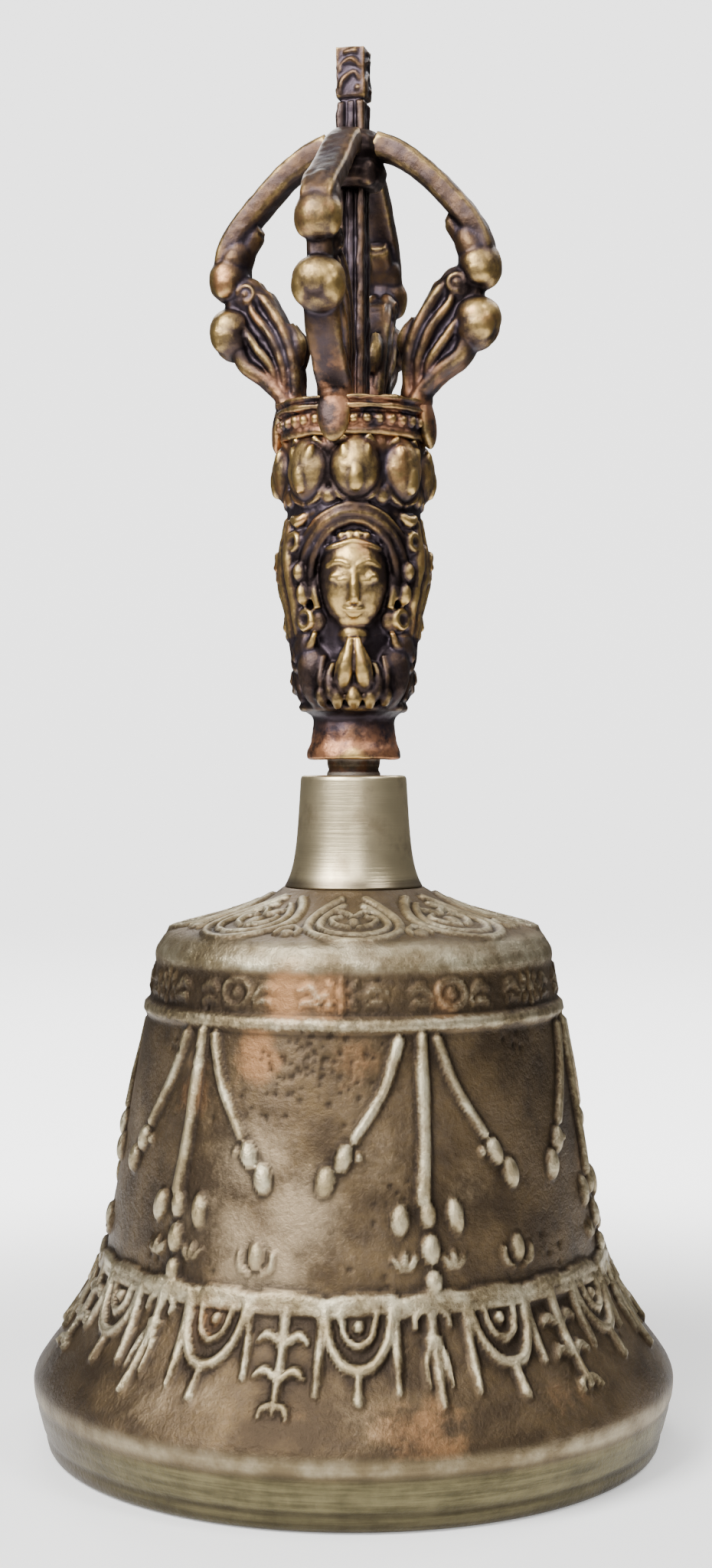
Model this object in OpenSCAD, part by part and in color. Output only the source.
// Tibetan hand bell: a cast bronze cup with a turned brass neck, a cast bronze grip
// that carries a crown of four prongs round a square shaft, and a clapper that hangs
// inside on a twisted wire link.
// Millimetres. The origin is the centre of the mouth, +Z runs up the axis, and the
// face on the grip looks along -Y.

/* [Bell cup] */
// Diameter at the widest line of the lip
cup_d = 90; // [84:1:98]
// Height of the cup from the mouth to the seat of the neck
cup_h = 77.5; // [74:0.5:84]
// Wall of the cup above the lip
cup_wall = 3; // [2.4:0.2:3.6]

/* [Neck] */
// Height of the turned neck
neck_h = 15.8; // [12:0.2:20]
// Diameter at the top of the neck
neck_top_d = 15; // [14:0.5:16]
// Diameter at the flared foot of the neck
neck_foot_d = 19.4; // [18:0.2:20]

/* [Grip] */
// Height of the grip from its foot to the crown seat
grip_h = 44.8; // [42:0.4:50]
// Diameter round the lotus petals, the widest part of the grip
grip_d = 23; // [21.4:0.2:24]
// Diameter of the foot of the grip
foot_d = 14; // [13:0.2:14.6]

/* [Crown] */
// Diameter across the outer faces of two opposite prongs
crown_d = 42.8; // [40:0.4:46]
// Width of a prong across its sides
prong_w = 5.2; // [4:0.2:5.6]
// Turn of the crown about the axis, clockwise from the face as seen from above
crown_turn = 15; // [0:1:45]
// How much higher the beast head of the front prong stands
front_lift = 4; // [0:0.5:5]
// Side of the square shaft
shaft_side = 3.9; // [3.4:0.1:4.2]

/* [Clapper] */
// Diameter of the striking bob
bob_d = 15; // [12:0.5:16]
// Diameter of the wire link
wire_d = 1.8; // [1.6:0.1:2]
// Distance between the two pivots of the link
link_len = 10.5; // [10:0.5:12]

/* [Hidden] */
$fn = 96;

// Finishes
bronze = [0.42, 0.34, 0.22];
dark_bronze = [0.33, 0.25, 0.19];
brass = [0.72, 0.66, 0.5];
iron = [0.2, 0.18, 0.17];

// Running room round a rod in its hole
room = 0.05;

// Levels along the axis
ceiling_z = cup_h - 5;
collar_z = cup_h + neck_h;
shoulder_h = 2.3;
grip_z = collar_z + shoulder_h;
seat_z = grip_z + grip_h;
seat_h = 5.2;
crown_z = seat_z + seat_h;
hub_z = crown_z + 30.4;
hub_h = 8.4;
tip_h = 7.2;
tip_z = hub_z + hub_h + 11.6;

// Radii worked out from the diameters
cup_r = cup_d / 2;
spindle_r = 3;
shoulder_r = 3.8;
wire_r = wire_d / 2;

// Fixings under the ceiling of the cup
washer_h = 1.2;
washer_r = 7;
nut_h = 4;
nut_across = 10;
nut_z = ceiling_z - washer_h - nut_h;

// Pivots: the link's bars sit low in the tongue's hole and high in the rod's eye
eye_hole_r = 1.5;
eye_r = 3;
tongue_t = 2.6;
tongue_hole_z = nut_z - 6.8;
bar_gap = eye_hole_r - wire_r - 0.1;
link_top_z = tongue_hole_z - bar_gap;
link_low_z = link_top_z - link_len;
bar_half = 1.7;
bend_r = 1.5;
eye_z = link_low_z - bar_gap;
bob_z = 14;

// A point on a cubic curve, and a run of n + 1 of them
function curve_at(a, b, c, d, t) =
    pow(1 - t, 3) * a + 3 * t * pow(1 - t, 2) * b + 3 * t * t * (1 - t) * c + pow(t, 3) * d;
function curve(a, b, c, d, n = 10) = [for (i = [0:n]) curve_at(a, b, c, d, i / n)];
function reversed(list) = [for (i = [len(list) - 1:-1:0]) list[i]];

// A band of even thickness along a flat path
function side_of(path, i, half) =
    let (a = path[max(i - 1, 0)], b = path[min(i + 1, len(path) - 1)], d = (b - a) / norm(b - a))
    path[i] + half * [-d[1], d[0]];
function band(path, half) = concat(
    [for (i = [0:len(path) - 1]) side_of(path, i, half)],
    [for (i = [len(path) - 1:-1:0]) side_of(path, i, -half)]);

// Outside of the cup from the mouth up to the neck: lip, flare, wall, shoulder and cone
ridge = [cup_r, cup_h * 0.122];
flare_top = [cup_r - 10.5, cup_h * 0.39];
shoulder_low = [cup_r - 17.4, cup_h * 0.888];
cone_edge = [cup_r - 21, cup_h * 0.932];
cup_outside = concat(
    [[cup_r - 2.6, 0], [cup_r - 2, 0.6]],
    curve([cup_r - 0.4, cup_h * 0.085], [cup_r - 0.1, cup_h * 0.1], ridge + [0, -0.8], ridge, 4),
    curve(ridge, ridge + [-0.1, 3.6], flare_top + [0.9, -10.8], flare_top, 16),
    [shoulder_low],
    curve(shoulder_low, shoulder_low + [-0.4, 2.2], cone_edge + [2.4, -0.6], cone_edge, 6),
    curve(cone_edge, cone_edge + [-6, 1.5], [neck_foot_d / 2 + 3.4, cup_h - 2.5],
          [neck_foot_d / 2 + 0.3, cup_h], 5));

// Inside of the cup, a wall's thickness in, thicker at the lip that is struck
flare_in = flare_top + [-cup_wall, 1];
shoulder_in = shoulder_low + [-cup_wall, -3];
cup_inside = concat(
    [[cup_r - 5.4, 0]],
    curve([cup_r - 4.6, 1], [cup_r - 3.8, 10], flare_top + [0.6 - cup_wall, -9.5], flare_in, 14),
    [shoulder_in],
    curve(shoulder_in, shoulder_in + [-0.8, 3.4], [cup_r - 27, ceiling_z - 0.6],
          [10, ceiling_z], 8));

module ring_body(outline) {
    rotate_extrude() polygon(outline);
}

module bore(r, z, h) {
    translate([0, 0, z]) cylinder(r = r, h = h);
}

// One casting, thick at the lip and drilled through the ceiling for the spindle
module bell_cup() {
    color(bronze) difference() {
        ring_body(concat(cup_outside, [[0, cup_h]], [[0, ceiling_z]], reversed(cup_inside)));
        bore(spindle_r + room, ceiling_z - 1, cup_h - ceiling_z + 2);
    }
}

// Turned brass neck with a concave flare and a broken top edge
module neck_collar() {
    foot = [neck_foot_d / 2, cup_h];
    top = [neck_top_d / 2, collar_z - 0.4];
    color(brass) difference() {
        ring_body(concat(
            [[0, cup_h]],
            curve(foot, foot + [-1.6, 3], top + [0.5, -8], top, 8),
            [[neck_top_d / 2 - 0.4, collar_z], [0, collar_z]]));
        bore(spindle_r + room, cup_h - 1, neck_h + 2);
    }
}

// Iron spindle: a threaded rod with a shoulder under the grip and a drilled tongue below
module spindle() {
    rod_low = nut_z - 1.5;
    rod_top = grip_z + 15;
    color(iron) difference() {
        union() {
            bore(spindle_r, rod_low, rod_top - rod_low);
            bore(shoulder_r, collar_z, shoulder_h);
            translate([-eye_r + 0.2, -tongue_t / 2, tongue_hole_z])
                cube([2 * eye_r - 0.4, tongue_t, rod_low - tongue_hole_z]);
            translate([0, tongue_t / 2, tongue_hole_z])
                rotate([90, 0, 0]) cylinder(r = eye_r - 0.2, h = tongue_t);
        }
        translate([0, tongue_t, tongue_hole_z])
            rotate([90, 0, 0]) cylinder(r = eye_hole_r, h = 2 * tongue_t);
    }
}

module crown_washer() {
    color(iron) difference() {
        bore(washer_r, ceiling_z - washer_h, washer_h);
        bore(spindle_r + room, ceiling_z - washer_h - 1, washer_h + 2);
    }
}

module crown_nut() {
    color(iron) difference() {
        translate([0, 0, nut_z]) cylinder(d = nut_across / cos(30), h = nut_h, $fn = 6);
        bore(spindle_r + room, nut_z - 1, nut_h + 2);
    }
}

// Outline of the grip at each level: foot, waist, face and lotus bowl
grip_r = grip_d / 2;
foot_r = foot_d / 2;
grip_outside = [
    [foot_r, 0], [foot_r, 0.8], [foot_r - 1.2, 6], [foot_r + 0.6, 6.6],
    [foot_r + 1.8, 9], [grip_r - 2.4, grip_h * 0.36], [grip_r - 1, grip_h * 0.47],
    [grip_r - 0.6, grip_h * 0.63], [grip_r - 1.6, grip_h * 0.77],
    [grip_r - 0.6, grip_h * 0.84], [grip_r - 0.4, grip_h * 0.93], [grip_r - 1.4, grip_h]];

// Rounded mask that stands out of the front of the grip
module face_boss() {
    hull() {
        translate([0, -5.6, grip_h * 0.62]) sphere(r = 5.4, $fn = 28);
        translate([0, -5.4, grip_h * 0.47]) sphere(r = 4, $fn = 28);
    }
}

// Joined hands below the face, pointed upwards
module joined_hands() {
    hull() {
        translate([0, -6.6, grip_h * 0.2]) sphere(r = 2.6, $fn = 24);
        translate([0, -7, grip_h * 0.36]) sphere(r = 1.2, $fn = 24);
    }
}

// Cast grip, with a blind hole for the spindle
module grip() {
    color(dark_bronze) translate([0, 0, grip_z]) difference() {
        union() {
            ring_body(concat([[0, 0]], grip_outside, [[0, grip_h]]));
            face_boss();
            joined_hands();
            for (turn = [0:45:315]) rotate(turn)
                translate([grip_r - 3, 0, grip_h * 0.87]) sphere(r = 3.4);
        }
        bore(spindle_r + room, -1, 16.1);
        translate([-grip_d, -grip_d, grip_h]) cube([2 * grip_d, 2 * grip_d, 6]);
    }
}

// Round seat on top of the grip, with a pearl ring and a square socket for the shaft
module crown_seat() {
    pearls = 28;
    rim_r = grip_r - 0.5;
    color(dark_bronze) difference() {
        union() {
            translate([0, 0, seat_z]) ring_body([
                [0, 0], [rim_r - 1, 0], [rim_r - 0.4, 1.2], [rim_r - 0.4, 2.8],
                [rim_r - 1.4, 3.4], [rim_r, seat_h], [0, seat_h]]);
            for (i = [0:pearls - 1]) rotate(i * 360 / pearls)
                translate([rim_r - 0.4, 0, seat_z + 2]) sphere(r = 0.85);
        }
        rotate(-crown_turn) translate([0, 0, crown_z])
            cube([shaft_side + 2 * room, shaft_side + 2 * room, 8], center = true);
    }
}

// Square bar that stands in the seat, runs through the hub and ends in a notched tip
module vajra_shaft() {
    foot = crown_z - 4;
    tip = shaft_side + 0.4;
    color(dark_bronze) rotate(-crown_turn) {
        translate([-shaft_side / 2, -shaft_side / 2, foot])
            cube([shaft_side, shaft_side, tip_z - tip_h - 0.8 - foot]);
        translate([0, 0, tip_z - tip_h - 0.8])
            linear_extrude(0.8) square(shaft_side - 0.8, center = true);
        translate([0, 0, tip_z - tip_h])
            linear_extrude(tip_h) square(tip, center = true);
    }
}

// Cap that gathers the upper ends of the prongs on the shaft
hub_r = 5;
hub_slot = hub_r - 1.4;
module prong_hub() {
    color(dark_bronze) rotate(-crown_turn) difference() {
        translate([0, 0, hub_z]) cylinder(r1 = hub_r, r2 = hub_r - 1.6, h = hub_h);
        for (turn = [0:90:270]) rotate(turn)
            translate([hub_slot, -prong_w / 2 - room, hub_z - 1])
                cube([4, prong_w + 2 * room, hub_h - 0.2]);
        translate([0, 0, hub_z + hub_h / 2])
            cube([shaft_side + 2 * room, shaft_side + 2 * room, hub_h + 2], center = true);
    }
}

// Centre line of a prong in its own plane: x is the distance from the axis, and lift
// is how far its beast head stands higher than the others
prong_out = crown_d / 2;
prong_foot = [grip_r - 4.2, crown_z];
prong_end = [hub_r - 1.3, hub_z + 4.6];
function elbow(lift) = [prong_out - 3.4, crown_z + 11.2 + lift * 0.7];
function brow(lift) = [prong_out - 3.2, crown_z + 18.6 + lift];
function prong_line(lift) =
    let (low = elbow(lift), high = brow(lift))
    concat(curve(prong_foot, prong_foot + [0.4, 4.2], low + [-5.5, -4.6], low, 8),
           curve(low, low + [1, 1.4], high + [0.7, -3], high, 6),
           curve(high, high + [-1.2, 5.2 - lift * 0.6], prong_end + [5, -2.2], prong_end, 10));

// A flat curved bar with a mane behind the jaw knob and a brow bead above it
module prong(turn, lift = 0) {
    jaw_r = 3.6;
    bead_r = 3.2;
    mane = [[6.8, 0], [8.2, 8.8], [10, 12], [13.2, 17], [16.6, 15], [15.6, 9], [10.8, 0]];
    color(dark_bronze) rotate(turn - crown_turn) difference() {
        union() {
            translate([0, prong_w / 2, 0]) rotate([90, 0, 0])
                linear_extrude(prong_w) polygon(band(prong_line(lift), 1.7));
            translate([0, prong_w / 2 - 0.4, crown_z]) rotate([90, 0, 0])
                linear_extrude(prong_w - 0.8) polygon([for (p = mane) [p[0], p[1] * (1 + lift / 25)]]);
            translate([elbow(lift)[0], 0, elbow(lift)[1]]) sphere(r = jaw_r);
            translate([brow(lift)[0], 0, brow(lift)[1]]) sphere(r = bead_r);
        }
        translate([0, -5, crown_z - 5]) cube([40, 10, 5]);
        translate([0, -5, hub_z - 5]) cube([hub_slot + room, 10, 20]);
    }
}

// Link bent from one wire: its upper bar lies along Y and its lower bar along X
module bar_with_bends() {
    rotate([90, 0, 0]) cylinder(r = wire_r, h = 2 * bar_half, center = true);
    for (side = [0, 180]) rotate(side)
        translate([0, bar_half, -bend_r]) rotate([90, 0, 90])
            rotate_extrude(angle = 90) translate([bend_r, 0]) circle(r = wire_r);
}

// Straight stretch of wire between two points, with round joints
module wire(a, b) {
    d = b - a;
    translate(a) rotate([0, acos(d[2] / norm(d)), atan2(d[1], d[0])])
        cylinder(r = wire_r, h = norm(d));
    for (end = [a, b]) translate(end) sphere(r = wire_r);
}

module hanger_link() {
    out = bar_half + bend_r;
    color(brass) {
        translate([0, 0, link_top_z]) bar_with_bends();
        translate([0, 0, link_low_z]) rotate(90) mirror([0, 0, 1]) bar_with_bends();
        for (side = [-1, 1])
            wire([0, side * out, link_top_z - bend_r], [side * out, 0, link_low_z + bend_r]);
    }
}

// Rod with a forged eye, a collar above the bob and a riveted end below it
module clapper_rod() {
    eye_t = 2.4;
    stem_r = 1.7;
    tail_r = 1.3;
    color(iron) difference() {
        union() {
            translate([-eye_t / 2, 0, eye_z]) rotate([0, 90, 0]) cylinder(r = eye_r, h = eye_t);
            translate([0, 0, bob_z + bob_d / 2])
                cylinder(r = stem_r, h = eye_z - eye_hole_r - 0.5 - bob_z - bob_d / 2);
            bore(tail_r, bob_z - bob_d / 2 - 1, bob_d + 2);
            bore(tail_r + 0.9, bob_z - bob_d / 2 - 1.4, 1.2);
            bore(stem_r + 1, bob_z + bob_d / 2, 1.2);
        }
        translate([-eye_t, 0, eye_z])
            rotate([0, 90, 0]) cylinder(r = eye_hole_r, h = 2 * eye_t);
    }
}

// Round bob with a flat above and below, drilled for the rod
module clapper_bob() {
    flat = bob_d / 2 - 0.2;
    color(iron) difference() {
        translate([0, 0, bob_z]) intersection() {
            sphere(r = bob_d / 2 + 0.4);
            cube([bob_d + 2, bob_d + 2, bob_d], center = true);
        }
        bore(1.3 + room, bob_z - bob_d, 2 * bob_d);
        bore(2.2 + room, bob_z - bob_d / 2 - 1, 0.8 + 0.05);
    }
}

bell_cup();
neck_collar();
spindle();
crown_washer();
crown_nut();
grip();
crown_seat();
vajra_shaft();
prong_hub();
prong(-90, front_lift);  // prong_front
prong(0);  // prong_right
prong(90);  // prong_back
prong(180);  // prong_left
hanger_link();
clapper_rod();
clapper_bob();
